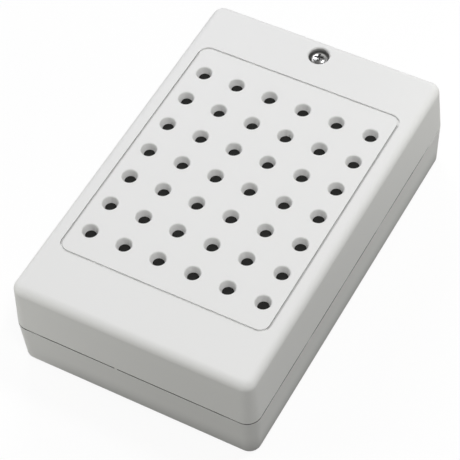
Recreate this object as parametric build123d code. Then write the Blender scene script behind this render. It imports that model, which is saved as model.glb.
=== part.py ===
from build123d import *
import math
import os

# Door chime: a two-part moulded case with a loudspeaker behind a drilled grille.
# It lies on its back, grille up. Z = 0 is the face that goes against the wall.
# X runs across the case. -Y is the hooked end, the upper one on a wall, and +Y the screw end.
# All sizes are in millimetres.

# Clearances
clearance = 0.3  # between pieces that move apart
running_fit = 0.05  # radial, round a turning shank
glue_gap = 0.05  # between pieces that are glued, soldered or pressed together
overcut = 1.0  # how far a cutter reaches past the face that it opens

# Case
case_width = 70.3  # at the parting line, where the case is widest
case_length = 111.0
rear_depth = 14.4  # back face to the middle of the parting gap
cover_depth = 15.6  # middle of the parting gap to the grille face
corner_radius = 3.9
cover_draft = 3.1  # degrees
rear_draft = 2.8  # degrees
face_edge_radius = 2.4
back_edge_radius = 1.0
wall = 2.4
face_wall = 1.9  # the grille face
rear_floor = 2.0
lip_thickness = 1.1  # outer half of the lap joint, on the cover
lap_height = 1.7  # tongue above the parting line

# Grille
hole_pitch = 10.0
hole_columns = 6
hole_rows = 7
hole_mouth = 4.2  # diameter at the face
hole_throat = 3.1  # diameter inside the wall
hole_lip = 0.22  # rounding of the mouth
grille_shift = -0.3  # centre of the grid along Y
panel_width = 59.8  # centreline of the groove round the grid
panel_length = 77.0
panel_corner = 2.8
groove_width = 0.6
groove_depth = 0.6
face_rib_x = 5.0  # short rib under the face, whose edge shows through one hole
face_rib_y = 11.76
face_rib_length = 8.0
face_rib_thickness = 1.2
face_rib_height = 1.8

# Screw that holds the cover
screw_from_end = 6.5
screw_thread = 2.6
screw_head = 5.0
screw_head_height = 1.9
screw_bite = 6.0  # thread in the rear case
screw_point = 2.2  # tapered end
recess_width = 2.6  # across the cross recess
recess_depth = 1.3
recess_turn = 15.0  # degrees, as the screw was left
counterbore = 5.8
counterbore_depth = 2.5
counterbore_lip = 0.3
screw_boss = 7.6
rear_boss = 7.6
boss_web = 1.4

# Hooks at the other end of the cover
hook_spacing = 36.0
hook_width = 8.0
hook_thickness = 1.3
hook_reach = 4.7  # below the edge of the cover
toe_height = 0.8
toe_bite = 0.6  # into the end wall
hook_play = 0.45  # above the toe, so that it swings out
hook_root = 4.0  # height of the block that joins hook and wall
nib_x = -4.3  # small moulded nib in the parting gap, on the hooked end
nib_width = 0.7
nib_height = 0.2

# Openings in the back
fixing_spacing_x = 54.0
fixing_spacing_y = 84.0
fixing_hole = 4.2
slot_length = 8.4
cable_x = 14.5
cable_from_end = 8.2
cable_width = 16.0
cable_height = 6.4
cable_corner = 1.0

# Circuit board
board_width = 40.0
board_length = 90.0
board_y = -4.0
board_thickness = 1.6
board_height = 3.0  # bosses under the board
board_corner = 1.0
board_fix_x = 33.0
board_fix_y = 59.0
board_fix_shift = -2.0
board_boss = 5.6
board_rest_x = 24.0
board_rest_y = -46.0
board_rest = 4.0

# Small self-tapping screws, for the board and the loudspeaker
tapper_thread = 2.2
tapper_head = 4.0
tapper_head_height = 1.5
board_tapper = 5.0
speaker_tapper = 7.0
pilot_extra = 1.0  # below the screw's end

# Loudspeaker, measured downwards from the underside of its flange
flange_land = 2.5  # flange beside the rim of the bowl
flange_corner = 4.0
flange_sheet = 0.8
flange_hole_inset = 4.5
flange_hole = 2.6
pillar_foot = 7.6
pillar_top = 6.2
gasket_thickness = 1.3
rim_radius = 26.0
rim_drop = 0.4
seat_radius = 24.3
ledge_radius = 18.2
ledge_inner = 15.6
ledge_drop = 6.6
basket_floor_drop = 8.0
basket_bore = 9.0
window_count = 6
window_width = 11.0
window_height = 3.6
plate_radius = 15.0  # top plate and yoke
top_plate_thickness = 2.0
magnet_radius = 16.0
magnet_bore = 8.2
magnet_thickness = 4.4
yoke_thickness = 2.0
pole_radius = 6.0
coil_gap = 0.3
former_wall = 0.2
winding_wall = 0.35
winding_length = 4.0
former_below = 0.5
cone_radius = 21.4
cone_paper = 0.4
cone_rim_drop = 0.4
cone_neck_drop = 4.6
neck_height = 0.7
surround_gap = 0.4
surround_lip = 0.6
roll_radius = 1.3
roll_sheet = 0.3
spider_sheet = 0.3
spider_waves = 3
spider_wave_height = 0.5
dust_cap_radius = 8.2
dust_cap_height = 2.4
dust_cap_sheet = 0.3

# Tag board on the basket
tag_board_width = 14.0
tag_board_depth = 6.4
tag_board_thickness = 1.0
tag_board_margin = 1.0  # of the board past its tab, and past the tags
tag_board_gap = 2.4  # from the ledge to the tag board
tag_spacing = 9.0
tag_width = 2.2
tag_sheet = 0.4
tag_overhang = 3.2
tag_eye = 1.0
rivet_radius = 1.1
rivet_head = 1.9
rivet_head_height = 0.5

# Leads from the tags to the board
lead_diameter = 1.3
lead_pad_x = 5.6
lead_pad_y = -36.6

# Terminal block
way_count = 3
way_pitch = 5.08
block_depth = 8.2
block_height = 10.0
block_end = 0.3
block_x = 11.4
cell_width = 4.1
cage_width = 3.5
cage_depth = 4.2
cage_height = 5.0
cage_top = 1.0
cage_wall = 0.6
cage_travel = 1.35
bar_thickness = 0.8
bar_width = 2.0
leg_y = 2.9  # from the middle of the block to the bar's upright
mouth_width = 3.0
mouth_height = 2.4
clamp_screw_thread = 2.2
clamp_screw_head = 3.4
clamp_screw_head_height = 1.4
clamp_screw_sink = 0.8
clamp_slot = 0.6
web_thickness = 0.8
well_wall = 0.8  # behind the wells

# Parts on the board
chip_length = 9.4
chip_width = 6.4
chip_height = 3.2
chip_standoff = 0.5
chip_x = 4.4
chip_y = -43.6
chip_pitch = 2.54
chip_row = 7.62
chip_notch = 1.0  # radius
chip_bevel = 0.5
transistor_radius = 2.4
transistor_height = 4.6
transistor_standoff = 2.6
transistor_x = 0.0
transistor_y = -35.8
reservoir_radius = 4.0
reservoir_height = 11.5
reservoir_x = -13.0
reservoir_y = -41.6
coupling_radius = 2.5
coupling_height = 7.0
coupling_x = -5.4
coupling_y = -45.2
can_standoff = 0.3
can_rim = 0.9  # sleeve turned over the top
can_sink = 0.12
disc_radius = 2.6
disc_thickness = 2.0
disc_standoff = 1.6
suppressor_x = -7.6
suppressor_y = 36.0
suppressor_spacing = 6.0
timing_disc_x = -4.8
timing_disc_y = -40.2
lead_pitch = 2.54  # between the two wires of a disc, or the outer two of the transistor
resistor_radius = 1.15
resistor_length = 6.2
resistor_count = 4
resistor_pitch = 4.6
resistor_y = -24.6
diode_radius = 1.3
diode_length = 4.8
diode_count = 4
diode_pitch = 3.7
diode_x = -6.4
diode_y = 25.4
axial_span = 10.16
axial_standoff = 0.35
wire_radius = 0.3
bend_radius = 0.8
trimmer_size = 6.6
trimmer_height = 3.4
trimmer_x = 14.9
trimmer_y = -38.6
rotor_radius = 2.4
rotor_height = 1.2
rotor_sink = 0.8
switch_length = 8.6
switch_width = 3.8
switch_height = 3.6
switch_x = 14.6
switch_y = -46.0
slider_width = 1.8
slider_depth = 1.4
slider_height = 2.0
slider_travel = 2.0
switch_window_depth = 1.0

# Heights and places that follow from the sizes above
screw_y = case_length / 2 - screw_from_end
cable_y = case_length / 2 - cable_from_end
flange_size = 2 * (rim_radius + flange_land)
flange_hole_spacing = flange_size - 2 * flange_hole_inset
tag_board_start = ledge_radius + tag_board_gap
case_depth = rear_depth + cover_depth
cover_low = rear_depth + clearance / 2
rear_top = rear_depth - clearance / 2
cover_inside = case_depth - face_wall
tongue_top = rear_top + clearance / 2 + lap_height
board_low = rear_floor + board_height
board_top = board_low + board_thickness
flange_low = cover_inside - clearance - gasket_thickness - flange_sheet
plate_top = flange_low - basket_floor_drop - flange_sheet
plate_low = plate_top - top_plate_thickness
magnet_low = plate_low - magnet_thickness
yoke_low = magnet_low - yoke_thickness
former_inner = pole_radius + coil_gap
former_outer = former_inner + former_wall
winding_outer = former_outer + winding_wall
plate_bore = winding_outer + coil_gap
neck_radius = former_outer + glue_gap
neck_low = flange_low - cone_neck_drop - neck_height
bar_height = glue_gap + cage_wall + cage_travel + 2 * clearance  # underside of the bar above the board
block_y = board_y + board_length / 2 - block_depth / 2


def inset_at(z):
    """How far the drafted side lies inside the parting outline at height z."""
    if z > rear_depth:
        return (z - rear_depth) * math.tan(math.radians(cover_draft))
    return (rear_depth - z) * math.tan(math.radians(rear_draft))


def outline(z, inset):
    """Rounded outline of the case at height z, moved inwards by inset."""
    radius = max(corner_radius - inset, 0.4)
    return Plane.XY.offset(z) * RectangleRounded(case_width - 2 * inset, case_length - 2 * inset, radius)


def side_block(z_low, z_high, thickness):
    """Block between two heights that follows the drafted sides, thickness inside them."""
    sections = [outline(z, thickness + inset_at(z)) for z in (z_low, z_high)]
    return loft(sections)


def straight_block(z_low, z_high, inset):
    """Block with upright sides."""
    return extrude(outline(z_low, inset), z_high - z_low)


def post(radius, z_low, z_high, top_radius=None):
    """Upright cylinder, or a cone where the top radius differs."""
    align = (Align.CENTER, Align.CENTER, Align.MIN)
    if top_radius is None or top_radius == radius:
        return Pos(0, 0, z_low) * Cylinder(radius, z_high - z_low, align=align)
    return Pos(0, 0, z_low) * Cone(radius, top_radius, z_high - z_low, align=align)


def block(x_low, x_high, y_low, y_high, z_low, z_high):
    """Box between two corners."""
    size = (x_high - x_low, y_high - y_low, z_high - z_low)
    middle = ((x_low + x_high) / 2, (y_low + y_high) / 2, (z_low + z_high) / 2)
    return Pos(*middle) * Box(*size)


def turned(points):
    """Solid turned about Z from a profile of (radius, height) points."""
    return revolve(Plane.XZ * Polygon(*points, align=None), Axis.Z)


def at_speaker(shape):
    """Moves a shape from the Z axis to the axis of the loudspeaker."""
    return Pos(0, grille_shift, 0) * shape


def grid_of(shape, spacing_x, spacing_y, middle_y=0.0, count_x=2, count_y=2):
    """Copies of a shape on a rectangular grid."""
    places = GridLocations(spacing_x, spacing_y, count_x, count_y)
    return [Pos(0, middle_y, 0) * place * shape for place in places]


def at_flange_holes(shape, middle_y=0.0):
    """Copies of a shape at the four holes of the loudspeaker's flange."""
    return grid_of(shape, flange_hole_spacing, flange_hole_spacing, middle_y)


def as_node(shapes):
    """Several separate solids under one name."""
    return Compound(children=[solid for shape in shapes for solid in shape.solids()])


def cross_recess(z_top, width, depth):
    """Tapered cross recess of a screw head."""
    arm = width / 4
    tip = width / 8
    wing = loft([
        Plane.XY.offset(z_top + 0.01) * Rectangle(width, arm),
        Plane.XY.offset(z_top - depth) * Rectangle(width / 2.4, tip),
    ])
    return wing + Rot(0, 0, 90) * wing


def tapping_screw(z_seat, length, thread, head, head_height, recess, depth, point):
    """Pan-head self-tapping screw, seated under its head at z_seat."""
    head_blank = post(head / 2, z_seat, z_seat + head_height)
    rim = head_blank.edges().group_by(Axis.Z)[-1]
    dome = fillet(rim, head_height * 0.6)
    shank = post(thread / 2, z_seat - length + point, z_seat)
    tip = post(thread / 6, z_seat - length, z_seat - length + point, thread / 2)
    return dome + shank + tip - cross_recess(z_seat + head_height, recess, depth)


# Case

def grille_hole():
    """Cutter for one sound hole: tapered, with a rounded mouth."""
    mouth = hole_mouth / 2
    throat = hole_throat / 2
    inside = cover_inside - 0.5
    above = case_depth + 0.5
    return turned([
        (0, inside),
        (throat, inside),
        (throat, cover_inside),
        (mouth, case_depth - hole_lip),
        (mouth + hole_lip, case_depth),
        (mouth + hole_lip, above),
        (0, above),
    ])


def panel_groove():
    """Cutter for the groove round the grid of holes."""
    z_low = case_depth - groove_depth
    rings = []
    for side in (groove_width, -groove_width):
        shape = RectangleRounded(panel_width + side, panel_length + side, panel_corner + side / 2)
        rings.append(extrude(Plane.XY.offset(z_low) * shape, groove_depth + 0.5))
    return rings[0] - rings[1]


def face_rib():
    """Short rib under the face, just past one of the holes."""
    half = face_rib_length / 2
    return block(face_rib_x - half, face_rib_x + half, face_rib_y, face_rib_y + face_rib_thickness,
                 cover_inside - face_rib_height, cover_inside + face_wall / 2)


def cover_hook():
    """Hook that swings out of the end wall as the cover is tilted."""
    end = -case_length / 2
    z_low = cover_low - hook_reach
    face = end + wall + inset_at(z_low) + clearance
    back = face + hook_thickness
    toe = face - clearance - toe_bite
    half = hook_width / 2
    ceiling = tongue_top + clearance
    tab = block(-half, half, face, back, z_low, ceiling + hook_root)
    root = block(-half, half, end + wall / 2, back, ceiling, ceiling + hook_root)
    toe_piece = block(-half, half, toe, face, z_low, z_low + toe_height)
    return tab + root + toe_piece


def front_cover():
    shell = side_block(cover_low, case_depth, 0)
    rim = shell.faces().sort_by(Axis.Z)[-1].edges()
    shell = fillet(rim, face_edge_radius)
    shell -= side_block(cover_low - overcut, cover_inside, wall)
    shell -= straight_block(cover_low - overcut, tongue_top + clearance, lip_thickness)

    end_inside = case_length / 2 - wall / 2 - inset_at(cover_inside)
    boss = post(screw_boss / 2, cover_low, cover_inside + face_wall / 2)
    web = block(-boss_web / 2, boss_web / 2, 0, end_inside - screw_y,
                tongue_top + clearance, cover_inside + face_wall / 2)
    shell += Pos(0, screw_y, 0) * (boss + web)
    seat = case_depth - counterbore_depth
    bore = post(screw_thread / 2 + clearance, cover_low - overcut, case_depth)
    sink = post(counterbore / 2, seat, case_depth + 0.5)
    lip = post(counterbore / 2, case_depth - counterbore_lip, case_depth + 0.5,
               counterbore / 2 + counterbore_lip + 0.5)
    shell -= Pos(0, screw_y, 0) * (bore + sink + lip)

    shell += [Pos(x, 0, 0) * cover_hook() for x in (-hook_spacing / 2, hook_spacing / 2)]
    shell -= grid_of(grille_hole(), hole_pitch, hole_pitch, grille_shift, hole_columns, hole_rows)
    return shell + face_rib() - panel_groove()


def hook_pocket():
    """Pocket in the end wall of the rear case that takes one hook's toe."""
    z_low = cover_low - hook_reach
    inner = -case_length / 2 + wall + inset_at(z_low)
    half = hook_width / 2 + clearance
    floor_y = inner - toe_bite - clearance
    return block(-half, half, floor_y, inner + overcut, z_low - clearance, z_low + toe_height + hook_play)


def fixing_slot():
    """Cutter for a level-adjusting slot, long across the case."""
    shape = Plane.XY.offset(-overcut) * SlotOverall(slot_length, fixing_hole)
    return extrude(shape, rear_floor + 2 * overcut)


def rear_case():
    shell = side_block(0, rear_top, 0)
    shell = fillet(shell.faces().sort_by(Axis.Z)[0].edges(), back_edge_radius)
    shell += straight_block(rear_top - lap_height, tongue_top, lip_thickness + clearance)
    shell -= side_block(rear_floor, rear_depth, wall)
    shell -= straight_block(rear_depth, tongue_top + overcut, wall)
    end = -case_length / 2 + inset_at(rear_top)
    shell += block(nib_x - nib_width / 2, nib_x + nib_width / 2, end, end + lip_thickness + clearance,
                   rear_top - clearance, rear_top + nib_height)

    boss_web_end = case_length / 2 - wall / 2 - inset_at(rear_floor) - screw_y
    boss = post(rear_boss / 2, rear_floor / 2, rear_top)
    web = block(-boss_web / 2, boss_web / 2, 0, boss_web_end, rear_floor / 2, rear_top)
    shell += Pos(0, screw_y, 0) * (boss + web)
    pillar = post(pillar_foot / 2, rear_floor / 2, flange_low, pillar_top / 2)
    shell += at_flange_holes(pillar, grille_shift)
    board_post = post(board_boss / 2, rear_floor / 2, board_low)
    shell += grid_of(board_post, board_fix_x, board_fix_y, board_fix_shift)
    rest = post(board_rest / 2, rear_floor / 2, board_low)
    shell += [Pos(x, board_rest_y, 0) * rest for x in (-board_rest_x / 2, board_rest_x / 2)]

    tip = case_depth - counterbore_depth - cover_screw_length()
    cover_pilot = post(screw_thread / 2 + running_fit, tip - clearance, rear_depth)
    shell -= Pos(0, screw_y, 0) * cover_pilot
    tapper_pilot = tapper_thread / 2 + glue_gap
    speaker_end = flange_low + flange_sheet - speaker_tapper - pilot_extra
    shell -= at_flange_holes(post(tapper_pilot, speaker_end, flange_low + overcut), grille_shift)
    board_end = max(board_top - board_tapper - pilot_extra, rear_floor / 2)
    board_pilot = post(tapper_pilot, board_end, board_low + overcut)
    shell -= grid_of(board_pilot, board_fix_x, board_fix_y, board_fix_shift)

    for x in (-hook_spacing / 2, hook_spacing / 2):
        shell -= Pos(x, 0, 0) * hook_pocket()
    for x in (-fixing_spacing_x / 2, fixing_spacing_x / 2):
        shell -= Pos(x, -fixing_spacing_y / 2, 0) * fixing_slot()
        shell -= Pos(x, fixing_spacing_y / 2, 0) * post(fixing_hole / 2, -overcut, rear_floor + overcut)
    cable = Plane.XY.offset(-overcut) * RectangleRounded(cable_width, cable_height, cable_corner)
    return shell - Pos(cable_x, cable_y, 0) * extrude(cable, rear_floor + 2 * overcut)


def cover_screw_length():
    """Length under the head of the screw that holds the cover."""
    return case_depth - counterbore_depth - rear_top + screw_bite


def cover_screw():
    seat = case_depth - counterbore_depth + running_fit
    screw = tapping_screw(seat, cover_screw_length(), screw_thread, screw_head, screw_head_height,
                          recess_width, recess_depth, screw_point)
    return Pos(0, screw_y, 0) * Rot(0, 0, recess_turn) * screw


# Loudspeaker

def speaker_basket():
    """Pressed basket: square flange, stepped bowl with windows, and a tab for the tag board."""
    top = flange_low + flange_sheet
    seat = flange_low - rim_drop
    ledge = flange_low - ledge_drop
    floor_top = flange_low - basket_floor_drop
    sheet = flange_sheet
    bowl = turned([
        (rim_radius + sheet, top),
        (rim_radius, top),
        (rim_radius, seat),
        (seat_radius, seat),
        (ledge_radius, ledge),
        (ledge_inner, ledge),
        (ledge_inner, floor_top),
        (basket_bore, floor_top),
        (basket_bore, floor_top - sheet),
        (ledge_inner + sheet, floor_top - sheet),
        (ledge_inner + sheet, ledge - sheet),
        (ledge_radius + sheet / 2, ledge - sheet),
        (seat_radius + sheet / 2, seat - sheet),
        (rim_radius + sheet, seat - sheet),
    ])
    flange = Plane.XY.offset(flange_low) * RectangleRounded(flange_size, flange_size, flange_corner)
    flange = extrude(flange, sheet)
    flange -= post(rim_radius + sheet / 2, flange_low - overcut, top + overcut)
    flange -= at_flange_holes(post(flange_hole / 2, flange_low - overcut, top + overcut))
    tab_end = tag_board_start + tag_board_depth
    tab_half = tag_board_width / 2 - tag_board_margin
    tab = block(-tab_half, tab_half, -tab_end, -ledge_radius, ledge - sheet, ledge)
    middle = (seat + ledge) / 2 - sheet / 2
    window = Box(rim_radius - ledge_inner, window_width, window_height)
    window = Pos((seat_radius + ledge_radius) / 2, 0, middle) * window
    windows = [Rot(0, 0, 360 * i / window_count) * window for i in range(window_count)]
    bowl -= windows
    rivet_y = -(tag_board_start + tag_board_depth / 2)
    rivet_hole = Pos(0, rivet_y, 0) * post(rivet_radius + glue_gap, ledge - sheet - overcut, ledge + overcut)
    return at_speaker(bowl + flange + tab - rivet_hole)


def speaker_gasket():
    z_low = flange_low + flange_sheet + glue_gap
    z_high = cover_inside - clearance
    ring = post(flange_size / 2 - 0.4, z_low, z_high) - post(rim_radius, z_low - overcut, z_high + overcut)
    return at_speaker(ring)


def speaker_top_plate():
    plate = post(plate_radius, plate_low, plate_top)
    return at_speaker(plate - post(plate_bore, plate_low - overcut, plate_top + overcut))


def speaker_magnet():
    ring = post(magnet_radius, magnet_low, plate_low)
    ring = chamfer(ring.edges().filter_by(GeomType.CIRCLE), 0.5)
    return at_speaker(ring - post(magnet_bore, magnet_low - overcut, plate_low + overcut))


def speaker_yoke():
    plate = post(plate_radius, yoke_low, magnet_low)
    plate = chamfer(plate.edges().sort_by(Axis.Z)[:1], 0.6)
    return at_speaker(plate + post(pole_radius, yoke_low, plate_top))


def coil_former():
    low = (plate_low + plate_top) / 2 - winding_length / 2 - former_below
    high = neck_low + neck_height
    tube = post(former_outer, low, high) - post(former_inner, low - overcut, high + overcut)
    return at_speaker(tube)


def coil_winding():
    low = (plate_low + plate_top) / 2 - winding_length / 2
    high = low + winding_length
    winding = post(winding_outer, low, high)
    return at_speaker(winding - post(former_outer + glue_gap / 5, low - overcut, high + overcut))


def speaker_spider():
    """Corrugated disc that centres the coil, glued to the ledge of the basket."""
    inner = winding_outer + coil_gap
    outer = ledge_radius - glue_gap * 4
    low = flange_low - ledge_drop + glue_gap
    start = inner + 1.0
    finish = ledge_inner - 0.4
    steps = spider_waves * 6
    crest = []
    for i in range(steps + 1):
        share = i / steps
        rise = spider_wave_height * math.sin(2 * math.pi * spider_waves * share)
        crest.append((start + (finish - start) * share, low + rise))
    under = [(inner, low)] + crest + [(outer, low)]
    over = [(r, z + spider_sheet) for r, z in reversed(under)]
    return at_speaker(turned(under + over))


def speaker_surround():
    """Half-roll edge between the basket and the cone."""
    inner = cone_radius + surround_gap
    z = flange_low - rim_drop + glue_gap
    roll = inner + surround_lip + roll_radius + roll_sheet / 2
    steps = 8
    angles = [math.pi * (1 - i / steps) for i in range(steps + 1)]
    large = roll_radius + roll_sheet / 2
    small = roll_radius - roll_sheet / 2
    over = [(roll + large * math.cos(a), z + large * math.sin(a)) for a in angles]
    under = [(roll + small * math.cos(a), z + small * math.sin(a)) for a in angles]
    outer = rim_radius - glue_gap
    profile = [(inner, z), (inner, z + roll_sheet)]
    profile += [p for p in over if p[1] > z + roll_sheet]
    profile += [(outer, z + roll_sheet), (outer, z)]
    profile += list(reversed(under))
    return at_speaker(turned(profile))


def cone_height(radius):
    """Height of the cone's upper face at a radius."""
    share = (radius - neck_radius) / (cone_radius - neck_radius)
    neck = flange_low - cone_neck_drop
    rim = flange_low - cone_rim_drop + cone_paper
    return neck + (rim - neck) * share ** 1.15


def speaker_cone():
    steps = 6
    start = neck_radius + cone_paper
    radii = [start + (cone_radius - start) * i / steps for i in range(steps + 1)]
    over = [(r, cone_height(r)) for r in radii]
    under = [(r, z - cone_paper) for r, z in over]
    neck = [(neck_radius, neck_low), (neck_radius, over[0][1])]
    profile = neck + over + list(reversed(under)) + [(neck_radius + cone_paper, neck_low)]
    return at_speaker(turned(profile))


def speaker_dust_cap():
    """Domed cap over the neck of the cone."""
    edge = cone_height(dust_cap_radius) + glue_gap + dust_cap_sheet
    sphere = (dust_cap_radius ** 2 + dust_cap_height ** 2) / (2 * dust_cap_height)
    steps = 7
    full = math.asin(dust_cap_radius / sphere)
    over = []
    under = []
    for i in range(steps + 1):
        angle = full * (1 - i / steps)
        for radius, side in ((sphere, over), (sphere - dust_cap_sheet, under)):
            height = edge + dust_cap_height - sphere + radius * math.cos(angle)
            side.append((radius * math.sin(angle), height))
    return at_speaker(turned(over + list(reversed(under))))


def tag_level():
    """Upper face of the tag board."""
    return flange_low - ledge_drop + glue_gap + tag_board_thickness


def speaker_tag_board():
    half = tag_board_width / 2
    top = tag_level()
    strip = block(-half, half, -tag_board_start - tag_board_depth, -tag_board_start,
                  top - tag_board_thickness, top)
    rivet_y = -(tag_board_start + tag_board_depth / 2)
    hole = Pos(0, rivet_y, 0) * post(rivet_radius + glue_gap, top - 2 * tag_board_thickness, top + overcut)
    return at_speaker(strip - hole)


def speaker_tags():
    low = tag_level() + glue_gap
    end = -tag_board_start - tag_board_depth - tag_overhang
    tag = block(-tag_width / 2, tag_width / 2, end, -tag_board_start - tag_board_margin, low, low + tag_sheet)
    tag -= Pos(0, end + tag_width / 2, 0) * post(tag_eye / 2, low - overcut, low + overcut)
    return as_node([at_speaker(Pos(x, 0, 0) * tag) for x in (-tag_spacing / 2, tag_spacing / 2)])


def tag_rivet():
    low = flange_low - ledge_drop - flange_sheet - glue_gap
    high = tag_level() + glue_gap
    shank = post(rivet_radius, low, high)
    heads = post(rivet_head, low - rivet_head_height, low) + post(rivet_head, high, high + rivet_head_height)
    bore = post(rivet_radius / 2, low - rivet_head_height - overcut, high + rivet_head_height + overcut)
    rivet_y = -(tag_board_start + tag_board_depth / 2)
    return at_speaker(Pos(0, rivet_y, 0) * (shank + heads - bore))


def speaker_screws():
    seat = flange_low + flange_sheet + glue_gap
    screw = tapping_screw(seat, speaker_tapper, tapper_thread, tapper_head, tapper_head_height,
                          tapper_head * 0.55, tapper_head_height * 0.6, tapper_thread * 0.6)
    return as_node(at_flange_holes(screw, grille_shift))


def speaker_lead(side):
    """Insulated lead from a tag down to its pad on the board."""
    radius = lead_diameter / 2
    start_z = tag_level() + tag_sheet + radius + 2 * glue_gap
    tag_end = grille_shift - tag_board_start - tag_board_depth - tag_overhang
    x = side * tag_spacing / 2
    pad = (side * lead_pad_x, lead_pad_y, board_top + glue_gap)
    rise = start_z - board_top
    points = [
        (x, tag_end + tag_overhang / 2, start_z),
        (x, lead_pad_y + 0.36 * rise, start_z),
        (side * lead_pad_x, lead_pad_y, start_z - 0.36 * rise),
        pad,
    ]
    path = FilletPolyline(*points, radius=0.25 * rise)
    ring = Plane(origin=path @ 0, z_dir=path % 0) * Circle(radius)
    return sweep(ring, path=path)


def speaker_lead_red():
    return speaker_lead(1)


def speaker_lead_black():
    return speaker_lead(-1)


# Circuit board and what is on it

def circuit_board():
    board = extrude(Plane.XY.offset(board_low) * RectangleRounded(board_width, board_length, board_corner),
                    board_thickness)
    board = Pos(0, board_y, 0) * board
    hole = post(tapper_thread / 2 + clearance / 2, board_low - overcut, board_top + overcut)
    return board - grid_of(hole, board_fix_x, board_fix_y, board_fix_shift)


def board_screws():
    screw = tapping_screw(board_top + glue_gap, board_tapper, tapper_thread, tapper_head, tapper_head_height,
                          tapper_head * 0.55, tapper_head_height * 0.6, tapper_thread * 0.6)
    return as_node(grid_of(screw, board_fix_x, board_fix_y, board_fix_shift))


def way_places():
    """Middle of each way of the terminal block, along X."""
    return [block_x + way_pitch * (i - (way_count - 1) / 2) for i in range(way_count)]


def block_levels():
    """Heights inside the terminal block, from the board up."""
    top = board_top + glue_gap + block_height
    head_seat = top - clamp_screw_sink - clamp_screw_head_height
    well_top = head_seat - web_thickness
    return top, head_seat, well_top


def terminal_block():
    """Housing with a well, a wire mouth and a screw hole for each way."""
    low = board_top + glue_gap
    top, head_seat, well_top = block_levels()
    half = way_pitch * way_count / 2 + block_end
    front = block_depth / 2
    body = block(-half, half, -front, front, low, top)
    body = Pos(block_x, block_y, 0) * chamfer(body.edges().group_by(Axis.Z)[-1].filter_by(Axis.X), 1.0)
    well = block(-cell_width / 2, cell_width / 2, -front + well_wall, cage_depth / 2 + clearance,
                 low - overcut, well_top)
    mouth_low = low + bar_height - mouth_height + clearance
    mouth = block(-mouth_width / 2, mouth_width / 2, 0, front + overcut, mouth_low, mouth_low + mouth_height)
    shank_hole = post(clamp_screw_thread / 2 + clearance, well_top - overcut, head_seat + overcut)
    head_hole = post(clamp_screw_head / 2 + clearance, head_seat, top + overcut)
    for x in way_places():
        body -= Pos(x, block_y, 0) * (well + mouth)
        body -= Pos(x, block_y, 0) * (shank_hole + head_hole)
    return body


def terminal_clamp(x):
    """Cage that the screw lifts, to grip a wire under the bar."""
    grip = board_top + bar_height - clearance
    low = grip - cage_wall
    cage = block(-cage_width / 2, cage_width / 2, -cage_depth / 2, cage_depth / 2, low, low + cage_height)
    inside = cage_width / 2 - cage_wall
    cage -= block(-inside, inside, -cage_depth, cage_depth, grip, low + cage_height - cage_top)
    high = low + cage_height
    cage -= post(clamp_screw_thread / 2 + running_fit, high - 2 * cage_top, high + overcut)
    return Pos(x, block_y, 0) * cage


def terminal_screw(x):
    """Slotted clamp screw, captive in the block."""
    head_seat = block_levels()[1] + running_fit
    bar_top = board_top + bar_height + bar_thickness
    head = post(clamp_screw_head / 2, head_seat, head_seat + clamp_screw_head_height)
    head = chamfer(head.edges().group_by(Axis.Z)[-1], 0.3)
    shank = post(clamp_screw_thread / 2, bar_top + clearance, head_seat)
    slot = block(-clamp_screw_head, clamp_screw_head, -clamp_slot / 2, clamp_slot / 2,
                 head_seat + clamp_screw_head_height / 2, head_seat + 2 * clamp_screw_head_height)
    return Pos(x, block_y, 0) * (head + shank - slot)


def terminal_pins():
    """Bar through each cage, with its upright down to the board."""
    low = board_top + bar_height
    half = bar_width / 2
    bar = block(-half, half, -leg_y, cage_depth / 2, low, low + bar_thickness)
    upright = block(-half, half, -leg_y, -leg_y + 0.6, board_top + glue_gap, low + bar_thickness)
    return as_node([Pos(x, block_y, 0) * (bar + upright) for x in way_places()])


def melody_chip():
    low = board_top + chip_standoff
    body = block(-chip_length / 2, chip_length / 2, -chip_width / 2, chip_width / 2, low, low + chip_height)
    body = chamfer(body.edges().group_by(Axis.Z)[-1], chip_bevel)
    high = low + chip_height
    notch = Pos(-chip_length / 2, 0, 0) * post(chip_notch, high - chip_bevel, high + overcut)
    return Pos(chip_x, chip_y, 0) * (body - notch)


def melody_chip_legs():
    level = board_top + chip_standoff + chip_height / 2
    legs = []
    for side in (-1, 1):
        outer = side * chip_row / 2
        inner = side * (chip_width / 2 + glue_gap)
        y_low, y_high = min(inner, outer + side * 0.25), max(inner, outer + side * 0.25)
        shoulder = block(-0.6, 0.6, y_low, y_high, level - 0.25, level)
        drop = block(-0.3, 0.3, outer - 0.125, outer + 0.125, board_top + glue_gap, level - 0.1)
        for i in range(4):
            x = chip_x + chip_pitch * (i - 1.5)
            legs.append(Pos(x, chip_y, 0) * (shoulder + drop))
    return as_node(legs)


def output_transistor():
    low = board_top + transistor_standoff
    body = post(transistor_radius, low, low + transistor_height)
    wide = 2 * transistor_radius
    top = low + transistor_height
    flat = block(-wide, wide, transistor_radius * 0.55, wide, low - overcut, top + overcut)
    return Pos(transistor_x, transistor_y, 0) * (body - flat)


def transistor_legs():
    leg = block(-0.25, 0.25, -0.25, 0.25, board_top + glue_gap, board_top + transistor_standoff)
    places = [(transistor_x + dx, transistor_y) for dx in (-lead_pitch / 2, 0, lead_pitch / 2)]
    return as_node([Pos(x, y, 0) * leg for x, y in places])


def can(radius, height):
    """Electrolytic can with the crimp groove and the rounded shoulder of its sleeve."""
    low = board_top + can_standoff
    top = low + height
    groove = low + 1.6
    body = turned([
        (0, low),
        (radius, low),
        (radius, groove),
        (radius - 0.3, groove + 0.35),
        (radius, groove + 0.7),
        (radius, top - 0.35),
        (radius - 0.35, top),
        (0, top),
    ])
    return body - post(radius - can_rim, top - can_sink, top + overcut)


def reservoir_capacitor():
    return Pos(reservoir_x, reservoir_y, 0) * can(reservoir_radius, reservoir_height)


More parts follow.
